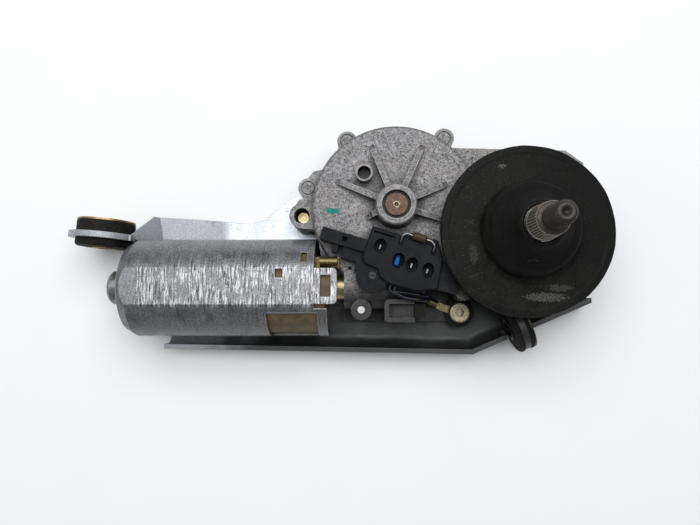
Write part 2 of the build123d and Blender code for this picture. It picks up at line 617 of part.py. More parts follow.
def lever_pin():
    """Pin pressed in the lever; the rod turns on it above a flat head."""
    x, y = LEVER_PIN
    return disc(3.0, 3.6, LEVER_Z1, x, y) + disc(4.6, 3.6, ROD_Z0 - 0.4, x, y)


def spindle():
    """Wiper spindle: plain journal, splined seat, shoulder and threaded stud."""
    shaft = disc(SPINDLE_R, LEVER_Z0, 62.0)
    shaft -= ring(SPINDLE_R + 1, SPINDLE_R - 0.6, 56.6, 57.9)
    shaft += turned([(0, 62.0), (SPINDLE_R, 62.0), (KNURL_R - 0.2, 63.0), (KNURL_R - 0.2, KNURL_Z0 + 1),
                     (5.7, KNURL_Z1), (STUD_R, KNURL_Z1 + 0.01), (STUD_R, STUD_TOP - 1.2),
                     (STUD_R - 1.1, STUD_TOP), (0, STUD_TOP)])
    shaft += splines()
    return shaft - Pos(0, 0, STUD_TOP - 0.4) * Cone(0.2, 1.2, 1.0)


def splines():
    """Forty fine splines round the tapered seat."""
    count = 40
    depth = 0.35
    rib = make_face(Polyline((5.2, 0, KNURL_Z0), (KNURL_R + depth - 0.2, 0, KNURL_Z0),
                             (5.7 + depth, 0, KNURL_Z1 - 0.6), (5.3, 0, KNURL_Z1 - 0.6), close=True))
    rib = extrude(rib, 0.22, dir=(0, 1, 0), both=True)
    return [Rot(0, 0, k * 360 / count) * rib for k in range(count)]


def spindle_bush(z0, z1):
    """Sintered bush in the spindle tube."""
    return ring(SPINDLE_R + 1.5, SPINDLE_R + RUN_GAP, z0, z1)


def spindle_circlip():
    """Retaining clip in the spindle's groove."""
    clip = ring(8.0, SPINDLE_R - 0.5, 56.8, 57.7)
    return clip - block(-2, 2, 0, 10, 56, 58)


def spindle_washer():
    """Flat washer on top of the tube."""
    return ring(8.6, SPINDLE_R + 0.2, TUBE_TOP + 0.1, 56.5)


def lever_washer():
    """Washer between the lever and the foot of the tube."""
    return ring(8.4, SPINDLE_R + 0.2, LEVER_Z1 + 0.1, 15.1)


def spindle_seal():
    """Rubber ring at the mouth of the tube."""
    return ring(SPINDLE_R + 1.5, SPINDLE_R + RUN_GAP, 51.5, 54.0)


def rubber_boot():
    """Moulded sealing boot: foot, wide rim flange, domed crown and lip."""
    outline = [(TUBE_R, 30.2), (14.0, 30.2), (16.5, 33), (16.5, 38.4), (30, 39.4), (33.4, 39.6),
               (33.4, 42.0), (32.6, 42.8), (19.6, 43.8), (18.4, 45.2), (17.3, 51.6), (16.4, 53.0),
               (9.2, 60.4), (8.4, 62.4), (7.3, 63.0), (6.6, 62.2), (6.6, 61.0), (12, 56.0),
               (TUBE_R + 1.0, 54.0), (TUBE_R, 53.0)]
    return turned(outline)


# ---- electrics ----
def in_connector(shape):
    """Turn a shape from the connector's own frame into place."""
    return Pos(-47.0, -11.0, 0) * Rot(0, 0, CONN_TURN) * shape


PIN_SPOTS = [(-10.7, 2.7), (-2.2, -0.7), (3.3, -0.9), (9.9, -1.2)]


def connector_housing():
    """Black moulded connector block with its side arm, lobe and four cavities."""
    z0, z1 = CONN_Z0, CONN_Z1
    body = prism([(-15.9, 9.5), (-4, 9.2), (-0.4, 11.6), (10.3, 11.4), (14.2, 5.3), (15.6, -7.0),
                  (7.4, -10.2), (-3.8, -10.4), (-7.6, -9.0), (-9.1, -6.2), (-14.4, -5.8), (-16.3, -3.1)],
                 z0, z1)
    body = fillet(upright(body.edges()), 0.9)
    body = chamfer(body.edges().group_by(Axis.Z)[-1], 0.5)
    arm = block(-34.6, -14.0, -1.3, 3.8, z0, z1 - 0.8) + block(-28.8, -26.6, -4.6, -1.0, z0, z1 - 2.4)
    foot = block(-24.5, -12.0, -5.9, -1.0, z0, z1 - 2.4) + block(-18.0, -8.0, -9.0, -4.0, z0, z1 - 2.4)
    lobe = disc(6.4, z0, z1 - 1.6, -10.3, -9.6)
    housing = body + arm + foot + lobe
    for x, y in PIN_SPOTS:
        cavity = extrude(Ellipse(2.4, 3.1), z1 - z0)
        housing -= Pos(x, y, z0 + 1.6) * cavity
    housing -= block(-14.6, -6.0, 7.2, 8.0, z1 - 2, z1 + 1)
    housing -= block(-25.9, -23.9, 0.2, 2.4, z0 + 2, z1 + 1)
    housing -= block(-0.9, 8.6, 8.3, 12.5, z1 - 2.4, z1 + 1)
    for x in (-3.4, 9.8):
        housing -= block(x - 0.9, x + 0.9, 5.0, 9.6, z1 - 2.0, z1 + 1)
    housing -= disc(1.6, z1 - 3, z1 + 1, -10.3, -9.2)
    return in_connector(housing)


def connector_wedge():
    """Side guard of the connector that runs in under the boot."""
    guard = prism([(14.5, 5.0), (18.1, 2.0), (24.2, -4.6), (23.6, -6.8), (15.8, -7.2)], 31.0, 35.0)
    return in_connector(guard)


def terminal_pins():
    """Flat pins in three of the connector's cavities; the second holds a lead."""
    pins = []
    for x, y in PIN_SPOTS[:1] + PIN_SPOTS[2:]:
        pins.append(in_connector(block(x - 0.3, x + 0.3, y - 0.9, y + 0.9, CONN_Z0 + 1.6, CONN_Z1 - 3.2)))
    return Compound(children=pins)


def cavity_lead():
    """Insulated end of a lead that lies aslant in the second cavity."""
    x, y = PIN_SPOTS[1]
    lead = Cylinder(1.0, 4.4)
    lead = Pos(x - 0.4, y - 0.1, CONN_Z1 - 3.0) * Rot(65, 0, 0) * fillet(lead.edges(), 0.35)
    return in_connector(lead)


def connector_screw():
    """Small screw that holds the connector to the cover."""
    screw = disc(1.5, CONN_Z1 - 3.0, CONN_Z1 - 1.6, -10.3, -9.2)
    return in_connector(screw - block(-11.5, -9.1, -9.4, -9.0, CONN_Z1 - 2.1, CONN_Z1))


def suppressor_body():
    """Small suppressor moulded as a rounded bead."""
    bead_shape = Rot(0, 90, 0) * Cylinder(1.6, 5.4)
    bead_shape = fillet(bead_shape.edges(), 0.7)
    return in_connector(Pos(3.2, 10.2, CONN_Z1 + 0.9) * bead_shape)


def suppressor_leads():
    """Two bright wire loops from the suppressor down into the connector."""
    z = CONN_Z1 + 0.9
    left = [(0.4, 10.2, z), (-2.0, 10.4, z + 0.2), (-3.4, 9.2, z + 0.1), (-3.4, 6.4, z - 2.1)]
    right = [(6.0, 10.2, z), (8.0, 10.2, z + 0.2), (9.8, 8.8, z + 0.1), (9.8, 6.3, z - 2.1)]
    wires = [in_connector(wire_tube(route, 0.35, [1.2, 1.0])) for route in (left, right)]
    return Compound(children=wires)


def ring_terminal():
    """Ring terminal under the earth screw, with its neck and solid crimp barrel."""
    x, y = GROUND
    plate = disc(4.6, 8.8, 9.6, x, y)
    plate += prism([(-25.6, -32.4), (-25.2, -29.0), (-31.4, -26.9), (-32.4, -29.6)], 8.8, 9.6)
    plate -= disc(2.1, 7, 11, x, y)
    return plate + Pos(*BARREL) * Rot(0, 0, BARREL_TURN) * Rot(0, 90, 0) * Cylinder(1.9, BARREL_L)


def ground_washer():
    """Black insulating washer under the ring terminal."""
    return ring(6.4, 2.1, 8.0, 8.8, *GROUND)


def ground_screw():
    """Pan head earth screw with a socket in its head."""
    x, y = GROUND
    head = disc(4.6, 9.6, 12.4, x, y)
    head = fillet(head.edges().group_by(Axis.Z)[-1], 0.9)
    socket = Pos(x, y, 11.0) * extrude(RegularPolygon(1.9, 6), 2)
    return disc(1.95, 3.2, 9.6, x, y) + head - socket


def earth_wires():
    """Two insulated leads that arch from the connector's side down to the crimp barrel."""
    face = Vector(-51.4, -20.75, 33.0)
    along = Vector(0.961, -0.276, 0)
    outward = Vector(-0.276, -0.961, 0)
    turn = math.radians(BARREL_TURN)
    into = Vector(math.cos(turn), math.sin(turn), 0)
    beside = Vector(-into.Y, into.X, 0)
    mouth = Vector(*BARREL) - into * (BARREL_L / 2 + 0.05)
    wires = []
    for side in (-1, 1):
        start = face + along * side + outward * 0.05
        end = mouth + beside * (0.8 * side)
        route = [start, start + outward * 2.2, Vector(-46.5, -24.6 + side, 32.6),
                 Vector(-40.6, -25.5 + side, 32.2), Vector(-37.1, -25.7 + 0.9 * side, 29.4),
                 end - into * 1.8 + Vector(0, 0, 6), end - into * 1.8, end]
        wires.append(wire_tube([tuple(point) for point in route], 0.75, [1.0, 4.0, 2.6, 2.6, 6.0, 0.9]))
    return Compound(children=wires)


def side_screw():
    """Toothed head screw beside the connector."""
    head = disc(3.6, HOUSING_TOP, 26.0, *SIDE_SCREW)
    for k in range(12):
        head -= disc(0.35, 23, 27, *polar(3.65, 30 * k, *SIDE_SCREW))
    return head + disc(1.55, 15.2, HOUSING_TOP, *SIDE_SCREW)


def vent_plug():
    """Soft plug beside the cast frame."""
    x0, x1 = FRAME_X[1] + 0.1, FRAME_X[1] + 4.4
    return block(x0, x1, -33.4, -30.2, 8.0, 29.0) + block(x0, x1, -30.3, -27.9, 27.4, 29.0)


def dowel_pin():
    """Bright pin in the small round boss."""
    return disc(1.5, 6, DOWEL_TOP + 0.5, *DOWEL)


def end_play_screw():
    """Adjuster that takes up the worm shaft's end play."""
    screw = bar(3.0, -40.1, -37.8)
    return screw - block(-38.6, -37, MOTOR_Y - 0.5, MOTOR_Y + 0.5, 17, 25)


PARTS = {
    "bracket_plate": bracket_plate,
    "left_grommet": lambda: grommet(*LEFT_GROMMET),
    "lower_grommet": lambda: grommet(*LOWER_GROMMET),
    "left_grommet_sleeve": lambda: grommet_sleeve(*LEFT_GROMMET),
    "lower_grommet_sleeve": lambda: grommet_sleeve(*LOWER_GROMMET),
    "gear_housing": gear_housing,
    "gearbox_cover": gearbox_cover,
    "cover_gasket": cover_gasket,
    "housing_screws": housing_screws,
    "lobe_screw": lobe_screw,
    "motor_can": motor_can,
    "field_magnets": field_magnets,
    "rear_bearing": rear_bearing,
    "front_bearing": front_bearing,
    "armature_shaft": armature_shaft,
    "armature_core": armature_core,
    "armature_windings": armature_windings,
    "commutator": commutator,
    "brush_holder": brush_holder,
    "carbon_brushes": carbon_brushes,
    "brush_springs": brush_springs,
    "brush_terminal": brush_terminal,
    "choke_coil": choke_coil,
    "worm_wheel": worm_wheel,
    "wheel_axle": wheel_axle,
    "hub_bush": hub_bush,
    "hub_washer": hub_washer,
    "crank_pin": crank_pin,
    "contact_disc": contact_disc,
    "park_contacts": park_contacts,
    "connecting_rod": connecting_rod,
    "rocker_lever": rocker_lever,
    "lever_pin": lever_pin,
    "wiper_spindle": spindle,
    "lower_spindle_bush": lambda: spindle_bush(16.0, 26.0),
    "upper_spindle_bush": lambda: spindle_bush(41.0, 51.0),
    "spindle_circlip": spindle_circlip,
    "spindle_washer": spindle_washer,
    "lever_washer": lever_washer,
    "spindle_seal": spindle_seal,
    "rubber_boot": rubber_boot,
    "connector_housing": connector_housing,
    "connector_wedge": connector_wedge,
    "terminal_pins": terminal_pins,
    "cavity_lead": cavity_lead,
    "connector_screw": connector_screw,
    "suppressor_body": suppressor_body,
    "suppressor_leads": suppressor_leads,
    "ring_terminal": ring_terminal,
    "ground_washer": ground_washer,
    "ground_screw": ground_screw,
    "earth_wires": earth_wires,
    "side_screw": side_screw,
    "vent_plug": vent_plug,
    "dowel_pin": dowel_pin,
    "end_play_screw": end_play_screw,
}

os.makedirs("parts", exist_ok=True)
for name, make in PARTS.items():
    export_step(make(), f"parts/{name}.step")
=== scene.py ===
"""Looks of the rear wiper drive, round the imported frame.

Materials, the turned and moulded pieces that replace CAD nodes, floor, light and camera.
"""

import json
import math

import bpy
from mathutils import Matrix, Vector, noise


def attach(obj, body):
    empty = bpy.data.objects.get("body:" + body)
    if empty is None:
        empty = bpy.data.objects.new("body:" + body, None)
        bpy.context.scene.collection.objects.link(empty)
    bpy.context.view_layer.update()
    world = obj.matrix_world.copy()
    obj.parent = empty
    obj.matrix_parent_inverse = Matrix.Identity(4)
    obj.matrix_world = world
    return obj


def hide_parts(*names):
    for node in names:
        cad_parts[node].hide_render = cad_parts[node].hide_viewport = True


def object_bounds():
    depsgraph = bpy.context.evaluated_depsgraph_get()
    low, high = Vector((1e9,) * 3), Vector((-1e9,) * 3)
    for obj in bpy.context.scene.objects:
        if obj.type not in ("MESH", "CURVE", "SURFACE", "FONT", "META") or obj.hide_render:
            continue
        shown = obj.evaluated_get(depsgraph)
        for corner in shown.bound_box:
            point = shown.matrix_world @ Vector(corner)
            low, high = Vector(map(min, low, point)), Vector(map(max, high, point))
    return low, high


MM = 0.001

# ---- frame ----
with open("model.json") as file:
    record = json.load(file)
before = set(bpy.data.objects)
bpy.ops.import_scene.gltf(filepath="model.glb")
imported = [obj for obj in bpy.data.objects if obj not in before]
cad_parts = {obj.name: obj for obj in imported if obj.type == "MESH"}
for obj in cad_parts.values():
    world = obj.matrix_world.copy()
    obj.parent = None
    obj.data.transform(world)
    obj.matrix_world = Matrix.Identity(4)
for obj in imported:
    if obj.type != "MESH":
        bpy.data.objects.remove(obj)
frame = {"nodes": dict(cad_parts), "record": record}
cad_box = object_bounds()
NODES = frame["nodes"]
MOUNTS = {mount["name"]: mount for mount in frame["record"]["mounts"]}
BODIES = frame["record"]["behaviour"]["bodies"]
BODY_OF = {node: body for body, nodes in BODIES.items() for node in nodes}


# ---- material building ----
# Rays that the shader spends on finding edges and corners.
EDGE_RAYS = 4
CORNER_RAYS = 8
# How far one seed shifts a noise from the next, in millimetres.
SEED_STEP = 37.1


class Finish:
    """One procedural material. Its calls take millimetres, in the part's own frame."""

    def __init__(self, name, **fixed):
        self.material = bpy.data.materials.new(name)
        self.material.use_nodes = True
        self.tree = self.material.node_tree
        self.shader = self.tree.nodes["Principled BSDF"]
        for socket, value in fixed.items():
            self.shader.inputs[socket.replace("_", " ")].default_value = value
        place = self.tree.nodes.new("ShaderNodeTexCoord").outputs["Object"]
        self.place = self.mapped(place, scale=(1 / MM,) * 3)

    def node(self, kind, *values, out=0, **settings):
        """Add a node, feed its inputs in order and return one output."""
        made = self.tree.nodes.new(kind)
        for key, value in settings.items():
            setattr(made, key, value)
        for socket, value in zip(made.inputs, values):
            self.feed(socket, value)
        return made.outputs[out]

    def feed(self, socket, value):
        """Link a socket, or set its value."""
        if value is None:
            return
        if isinstance(value, bpy.types.NodeSocket):
            self.tree.links.new(value, socket)
        elif socket.type == "RGBA":
            socket.default_value = (*value[:3], 1.0)
        else:
            socket.default_value = value

    def mapped(self, place, shift=(0, 0, 0), turn=0.0, scale=(1, 1, 1)):
        """Shift a place by a point, turn it about Z and scale it."""
        moved = self.node("ShaderNodeVectorMath", place, shift, operation="SUBTRACT")
        return self.node("ShaderNodeMapping", moved, (0, 0, 0), (0, 0, -math.radians(turn)), scale)

    def noise(self, size, detail=4.0, rough=0.55, twist=0.0, stretch=(1, 1, 1), seed=0.0):
        """Soft noise with features of about that size, between 0 and 1."""
        frequencies = [1 / (size * s) for s in stretch]
        place = self.mapped(self.place, shift=(seed * SEED_STEP,) * 3, scale=frequencies)
        made = self.tree.nodes.new("ShaderNodeTexNoise")
        self.feed(made.inputs["Vector"], place)
        made.inputs["Scale"].default_value = 1.0
        made.inputs["Detail"].default_value = detail
        made.inputs["Roughness"].default_value = rough
        made.inputs["Distortion"].default_value = twist
        return made.outputs["Fac"]

    def fade(self, value, low, high, top=1.0):
        """0 below low, top above high, smooth between."""
        return self.node("ShaderNodeMapRange", value, low, high, 0.0, top,
                         interpolation_type="SMOOTHSTEP")

    def calc(self, operation, a, b=None):
        """One step of arithmetic, held between 0 and 1."""
        return self.node("ShaderNodeMath", a, b, operation=operation, use_clamp=True)

    def mix(self, share, a, b):
        """Blend two colours: a where share is 0, b where it is 1."""
        made = self.tree.nodes.new("ShaderNodeMix")
        made.data_type = "RGBA"
        for index, value in ((0, share), (6, a), (7, b)):
            self.feed(made.inputs[index], value)
        return made.outputs[2]

    def edges(self, radius):
        """How much the surface turns within a radius: 1 on sharp edges."""
        soft = self.node("ShaderNodeBevel", radius * MM, samples=EDGE_RAYS)
        flat = self.tree.nodes.new("ShaderNodeNewGeometry").outputs["Normal"]
        same = self.node("ShaderNodeVectorMath", soft, flat, operation="DOT_PRODUCT", out=1)
        return self.fade(same, 0.995, 0.90)

    def hollows(self, reach):
        """1 deep in a corner, 0 on open surface."""
        made = self.tree.nodes.new("ShaderNodeAmbientOcclusion")
        made.samples = CORNER_RAYS
        made.inputs["Distance"].default_value = reach * MM
        return self.fade(made.outputs["AO"], 0.85, 0.15)

    def patch(self, centre, size, turn=0.0, ragged=0.5, grain=1.2):
        """1 inside a ragged oval at a place, 0 outside it."""
        local = self.mapped(self.place, shift=centre, turn=turn, scale=[1 / s for s in size])
        reach = self.node("ShaderNodeVectorMath", local, operation="LENGTH", out=1)
        torn = self.calc_free("MULTIPLY_ADD", self.noise(grain, 3.0), ragged * 2, -ragged)
        return self.fade(self.calc_free("ADD", reach, torn), 1.1, 0.75)

    def reach_along(self, direction, low, high, ragged=6.0):
        """0 to 1 along a direction, from one distance to another, with a cloudy edge."""
        along = self.node("ShaderNodeVectorMath", self.place, direction,
                          operation="DOT_PRODUCT", out=1)
        cloudy = self.calc_free("MULTIPLY_ADD", self.noise(6.0, 4.0, 0.6, seed=12), ragged, -ragged / 2)
        return self.fade(self.calc_free("ADD", along, cloudy), low, high)

    def calc_free(self, operation, a, b=None, c=None):
        """One step of arithmetic, not held to any range."""
        return self.node("ShaderNodeMath", a, b, c, operation=operation)

    def finish(self, colour, roughness, height=None, depth=0.05, edge=0.25):
        """Connect colour, roughness and relief. Depth and edge rounding are in millimetres."""
        self.feed(self.shader.inputs["Base Color"], colour)
        self.feed(self.shader.inputs["Roughness"], roughness)
        normal = self.node("ShaderNodeBevel", edge * MM, samples=EDGE_RAYS) if edge else None
        if height is not None:
            bump = self.tree.nodes.new("ShaderNodeBump")
            bump.inputs["Strength"].default_value = 1.0
            bump.inputs["Distance"].default_value = depth * MM
            self.feed(bump.inputs["Height"], height)
            self.feed(bump.inputs["Normal"], normal)
            normal = bump.outputs["Normal"]
        self.feed(self.shader.inputs["Normal"], normal)
        return self.material


def scaled(colour, factor):
    """A colour made darker or lighter."""
    return tuple(min(1.0, c * factor) for c in colour)


# ---- finishes ----
# Near black for dirt and painted shade in the corners of cast and sheet metal.
GRIME_AND_SHADE = (0.010, 0.009, 0.008)
# One long side of the drive is darkened, as oiled metal and as painted shade: the way it faces, and
# where along that way the darkening starts and is full, in millimetres.
OIL_AND_SHADE_SIDE = (0.35, -0.94, 0.0)
OIL_AND_SHADE_REACH = (-7.0, 6.0)
# Pale scuffs on the boot: place and size in millimetres, turn in degrees, strength.
SMUDGES = [
    ((6.0, -25.5, 42.0), (8.0, 1.7, 5), 8.0, 0.55),
    ((-9.5, 25.0, 42.0), (1.7, 0.8, 4), 10.0, 0.6),
    ((-2.0, -12.5, 48.0), (3.6, 1.6, 7), -30.0, 0.35),
    ((11.0, -22.0, 42.0), (5.0, 1.4, 4), 20.0, 0.30),
    ((-21.0, -9.0, 42.0), (1.6, 4.0, 4), 25.0, 0.2),
]


def cast_metal(name, tint, seed=0.0, paint=None):
    """Die-cast aluminium.

    Mottled skin, dark pits, pale oxide, worn edges with a painted highlight, dirt and painted shade in
    corners, one side oiled and in painted shade.
    """
    f = Finish(name, Metallic=0.5)
    cloud = f.noise(11.0, 5.0, 0.6, seed=seed)
    mottle = f.noise(1.0, 6.0, 0.75, 0.5, seed=seed)
    grain = f.noise(0.22, 3.0, 0.6, seed=seed)
    colour = f.mix(f.fade(mottle, 0.38, 0.62), scaled(tint, 0.36), scaled(tint, 1.35))
    colour = f.mix(f.fade(cloud, 0.48, 0.70, 0.45), colour, (0.19, 0.165, 0.155))
    oxide = f.fade(f.noise(3.5, 4.0, 0.65, 0.4, seed=seed + 2), 0.54, 0.68, 0.55)
    colour = f.mix(oxide, colour, scaled(tint, 1.6))
    pits = f.fade(f.noise(0.55, 4.0, 0.65, seed=seed + 1), 0.58, 0.65)
    colour = f.mix(pits, colour, (0.025, 0.023, 0.021))
    smears = f.fade(f.noise(1.2, 4.0, 0.6, 0.8, stretch=(5, 1, 1), seed=seed + 3), 0.60, 0.72, 0.55)
    colour = f.mix(smears, colour, (0.07, 0.065, 0.062))
    # Worn edges, lightened also as a painted edge highlight.
    rubbed_and_highlit = f.calc("MULTIPLY", f.edges(0.55), f.fade(mottle, 0.2, 0.45))
    colour = f.mix(rubbed_and_highlit, colour, scaled(tint, 2.3))
    # Dirt and painted shade: the corners are darkened toward near black.
    grime_and_shade = f.calc("MULTIPLY", f.hollows(6.0), 0.9)
    colour = f.mix(grime_and_shade, colour, GRIME_AND_SHADE)
    # One side darkened, partly as oiled metal and partly as painted shade.
    oil_and_shade = f.calc("MULTIPLY", f.reach_along(OIL_AND_SHADE_SIDE, *OIL_AND_SHADE_REACH), 0.88)
    colour = f.mix(oil_and_shade, colour, (0.018, 0.017, 0.016))
    if paint:
        colour = f.mix(paint(f), colour, (0.0, 0.15, 0.115))
    rough = f.calc("ADD", f.fade(mottle, 0.2, 0.8, 0.22), 0.38)
    skin = f.calc("ADD", f.calc("MULTIPLY", grain, 0.4), f.calc("MULTIPLY", mottle, 0.6))
    relief = f.calc("SUBTRACT", skin, pits)
    return f.finish(colour, rough, relief, depth=0.12, edge=0.35)


def cover_paint(f):
    """The dab of marking paint on the gearbox cover."""
    return f.patch((-75.9, 9.9, 30.0), (3.0, 1.3, 4.0), turn=28.0, ragged=0.6, grain=0.8)


def can_zinc(name):
    """Zinc plated drawn steel: spangle, scuffs, dark specks and dull stains.

    The scuffs run across the motor's axis and are strongest on the can's flat top.
    """
    f = Finish(name, Metallic=0.8)
    spangle = f.noise(0.6, 6.0, 0.75)
    scuff = f.noise(0.75, 5.0, 0.7, 0.6, stretch=(1, 9, 9))
    long_scratch = f.fade(f.noise(0.5, 2.0, 0.5, 0.2, stretch=(1, 40, 40), seed=1), 0.64, 0.69)
    stain = f.noise(8.0, 5.0, 0.65, 0.6)
    top = f.reach_along((0.0, 0.0, 1.0), 39.2, 39.8, 0.2)
    past_end = f.reach_along((1.0, 0.0, 0.0), -153.5, -151.5, 1.0)
    flat = f.calc("ADD", f.calc("MULTIPLY", top, past_end), 0.15)
    handled = f.calc("MULTIPLY", f.fade(stain, 0.38, 0.54), flat)
    colour = f.mix(f.fade(spangle, 0.32, 0.68), (0.11, 0.11, 0.112), (0.33, 0.33, 0.34))
    bright = f.calc("MULTIPLY", handled, f.fade(scuff, 0.50, 0.58, 0.85))
    colour = f.mix(bright, colour, (0.68, 0.69, 0.71))
    dark = f.calc("MULTIPLY", handled, f.fade(scuff, 0.46, 0.40, 0.9))
    colour = f.mix(dark, colour, (0.045, 0.045, 0.047))
    colour = f.mix(f.fade(stain, 0.50, 0.34, 0.55), colour, (0.15, 0.15, 0.155))
    specks = f.fade(f.noise(0.55, 4.0, 0.65, seed=2), 0.60, 0.67)
    colour = f.mix(specks, colour, (0.025, 0.025, 0.025))
    colour = f.mix(long_scratch, colour, (0.06, 0.06, 0.06))
    # Painted edge highlight, with some wear: the edges are lightened to near white.
    colour = f.mix(f.calc("MULTIPLY", f.edges(0.4), 0.8), colour, (0.72, 0.73, 0.75))
    # Dirt and painted shade: the can's recesses are darkened toward near black.
    colour = f.mix(f.hollows(3.5), colour, (0.012, 0.011, 0.010))
    # Painted shade: the can's lower side is darkened, as if lit from above it.
    shade = f.calc("MULTIPLY", f.reach_along((0.0, -1.0, -0.35), 20.0, 26.0, 2.0), 0.45)
    colour = f.mix(shade, colour, (0.05, 0.05, 0.048))
    scuffed = f.calc("ADD", f.fade(scuff, 0.3, 0.7, 0.12), 0.24)
    rough = f.calc("ADD", f.fade(stain, 0.3, 0.7, 0.2), scuffed)
    relief = f.calc("SUBTRACT", f.calc("MULTIPLY", scuff, 0.6), f.calc("ADD", specks, long_scratch))
    return f.finish(colour, rough, relief, depth=0.06, edge=0.4)


def plate_zinc(name, tint, oil_and_shade_strength=0.0):
    """Dull plated steel sheet: cloudy zinc, fine black specks, worn edges with a painted highlight, a
    little rust, and dirt with painted shade in corners.

    With oil_and_shade_strength set, it is the bracket: one side is oiled and in painted shade, and the
    raised arm is worn grey.
    """
    f = Finish(name, Metallic=0.85)
    cloud = f.noise(14.0, 5.0, 0.6, 0.5)
    fine = f.noise(0.5, 5.0, 0.7)
    colour = f.mix(f.fade(cloud, 0.35, 0.65), scaled(tint, 0.75), scaled(tint, 1.3))
    colour = f.mix(f.fade(fine, 0.48, 0.72, 0.45), colour, scaled(tint, 0.5))
    specks = f.fade(f.noise(0.7, 4.0, 0.65, seed=3), 0.61, 0.68)
    colour = f.mix(specks, colour, (0.025, 0.025, 0.025))
    rub = f.fade(f.noise(0.5, 3.0, 0.6, stretch=(20, 1, 1), seed=4), 0.60, 0.70, 0.5)
    colour = f.mix(rub, colour, scaled(tint, 1.5))
    if oil_and_shade_strength:
        worn_arm = f.reach_along((-1.0, 0.0, 0.0), 123.0, 128.0, 1.5)
        greyed = f.mix(f.fade(fine, 0.40, 0.60), (0.24, 0.245, 0.26), (0.44, 0.45, 0.48))
        colour = f.mix(f.calc("MULTIPLY", worn_arm, 0.9), colour, greyed)
        # One side darkened to a near black tone, partly as oiled metal and partly as painted shade.
        oil_and_shade = f.calc("MULTIPLY", f.reach_along(OIL_AND_SHADE_SIDE, *OIL_AND_SHADE_REACH), oil_and_shade_strength)
        streaks = f.noise(9.0, 4.0, 0.6, 1.0, seed=13)
        oil_and_shade_tone = f.mix(streaks, (0.007, 0.0075, 0.008), (0.030, 0.030, 0.024))
        colour = f.mix(oil_and_shade, colour, oil_and_shade_tone)
        dull = f.calc("MULTIPLY", f.calc("MAXIMUM", oil_and_shade, worn_arm), 0.65)
        f.feed(f.shader.inputs["Metallic"], f.calc("SUBTRACT", 0.85, dull))
    # Worn edges, lightened also as a painted edge highlight.
    colour = f.mix(f.calc("MULTIPLY", f.edges(0.35), 0.55), colour, (0.34, 0.345, 0.34))
    rust = f.fade(f.noise(4.0, 5.0, 0.7, seed=5), 0.60, 0.72, 0.35)
    colour = f.mix(rust, colour, (0.075, 0.040, 0.020))
    # Dirt and painted shade: the sheet's corners are darkened toward near black.
    colour = f.mix(f.calc("MULTIPLY", f.hollows(8.0), 0.9), colour, GRIME_AND_SHADE)
    grained = f.calc("ADD", f.fade(fine, 0.3, 0.7, 0.14), 0.24)
    rough = f.calc("ADD", f.fade(cloud, 0.3, 0.7, 0.16), grained)
    relief = f.calc("SUBTRACT", f.calc("MULTIPLY", fine, 0.7), specks)
    return f.finish(colour, rough, relief, depth=0.05, edge=0.4)


def turned_metal(name, tint, rust=0.0, rust_tint=(0.17, 0.075, 0.03), roughness=0.28,
                 stain=(0.25, 0.23, 0.2), overlay=None):
    """Machined or plated metal: fine tool marks, patchy tarnish and, where wanted, rust.

    An overlay adds one piece's own marks: overlay(finish, colour) returns the new colour.
    """
    f = Finish(name, Metallic=0.9)
    marks = f.noise(0.12, 3.0, 0.6, stretch=(6, 6, 1))
    patchy = f.noise(1.3, 5.0, 0.7, 0.5)
    colour = f.mix(f.fade(marks, 0.3, 0.7), scaled(tint, 0.65), scaled(tint, 1.15))
    colour = f.mix(f.fade(patchy, 0.52, 0.72, 0.6), colour, stain)
    rusty = f.fade(f.noise(0.9, 6.0, 0.75, 0.4, seed=6), 0.72 - 0.5 * rust, 0.80 - 0.42 * rust)
    crust = f.mix(f.noise(0.35, 4.0, 0.7), scaled(rust_tint, 0.45), scaled(rust_tint, 1.9))
    colour = f.mix(rusty, colour, crust)
    # Worn edges, lightened also as a painted edge highlight.
    colour = f.mix(f.calc("MULTIPLY", f.edges(0.2), 0.5), colour, scaled(tint, 1.35))
    if overlay:
        colour = overlay(f, colour)
    # Dirt and painted shade: the corners are darkened toward near black.
    colour = f.mix(f.calc("MULTIPLY", f.hollows(1.5), 0.9), colour, (0.010, 0.008, 0.007))
    tarnished = f.calc("ADD", f.fade(patchy, 0.3, 0.7, 0.15), roughness)
    rough = f.calc("ADD", f.calc("MULTIPLY", rusty, 0.5), tarnished)
    relief = f.calc("ADD", f.calc("MULTIPLY", rusty, 0.7), f.calc("MULTIPLY", marks, 0.3))
    return f.finish(colour, rough, relief, depth=0.04, edge=0.15)


def worn_centre(f, colour):
    """Rubbed spot round the centre punch of the wheel's axle."""
    spot = f.patch((-50.0, 11.0, 39.2), (1.3, 1.3, 3.0), ragged=0.7, grain=0.5)
    return f.mix(spot, colour, (0.34, 0.28, 0.21))


def rusty_stud(f, colour):
    """Rust between the splines of the tapered seat, and a dark brown crust on the stud above."""
    flat = f.mapped(f.place, scale=(1, 1, 0))
    wide = f.node("ShaderNodeVectorMath", flat, operation="LENGTH", out=1)
    high = f.node("ShaderNodeVectorMath", f.place, (0.0, 0.0, 1.0), operation="DOT_PRODUCT", out=1)
    # Radius plus this share of the height is the same all the way up the taper, 9.82 on a crest.
    tapered = f.calc_free("MULTIPLY_ADD", high, 0.0529, wide)
    colour = f.mix(f.fade(tapered, 9.72, 9.45, 0.9), colour, (0.030, 0.018, 0.010))
    crust = f.mix(f.noise(0.5, 5.0, 0.7, seed=14), (0.006, 0.005, 0.004), (0.034, 0.025, 0.019))
    stud = f.reach_along((0.0, 0.0, 1.0), 73.8, 75.0, 0.6)
    f.feed(f.shader.inputs["Metallic"], f.calc("SUBTRACT", 0.9, f.calc("MULTIPLY", stud, 0.7)))
    return f.mix(stud, colour, crust)


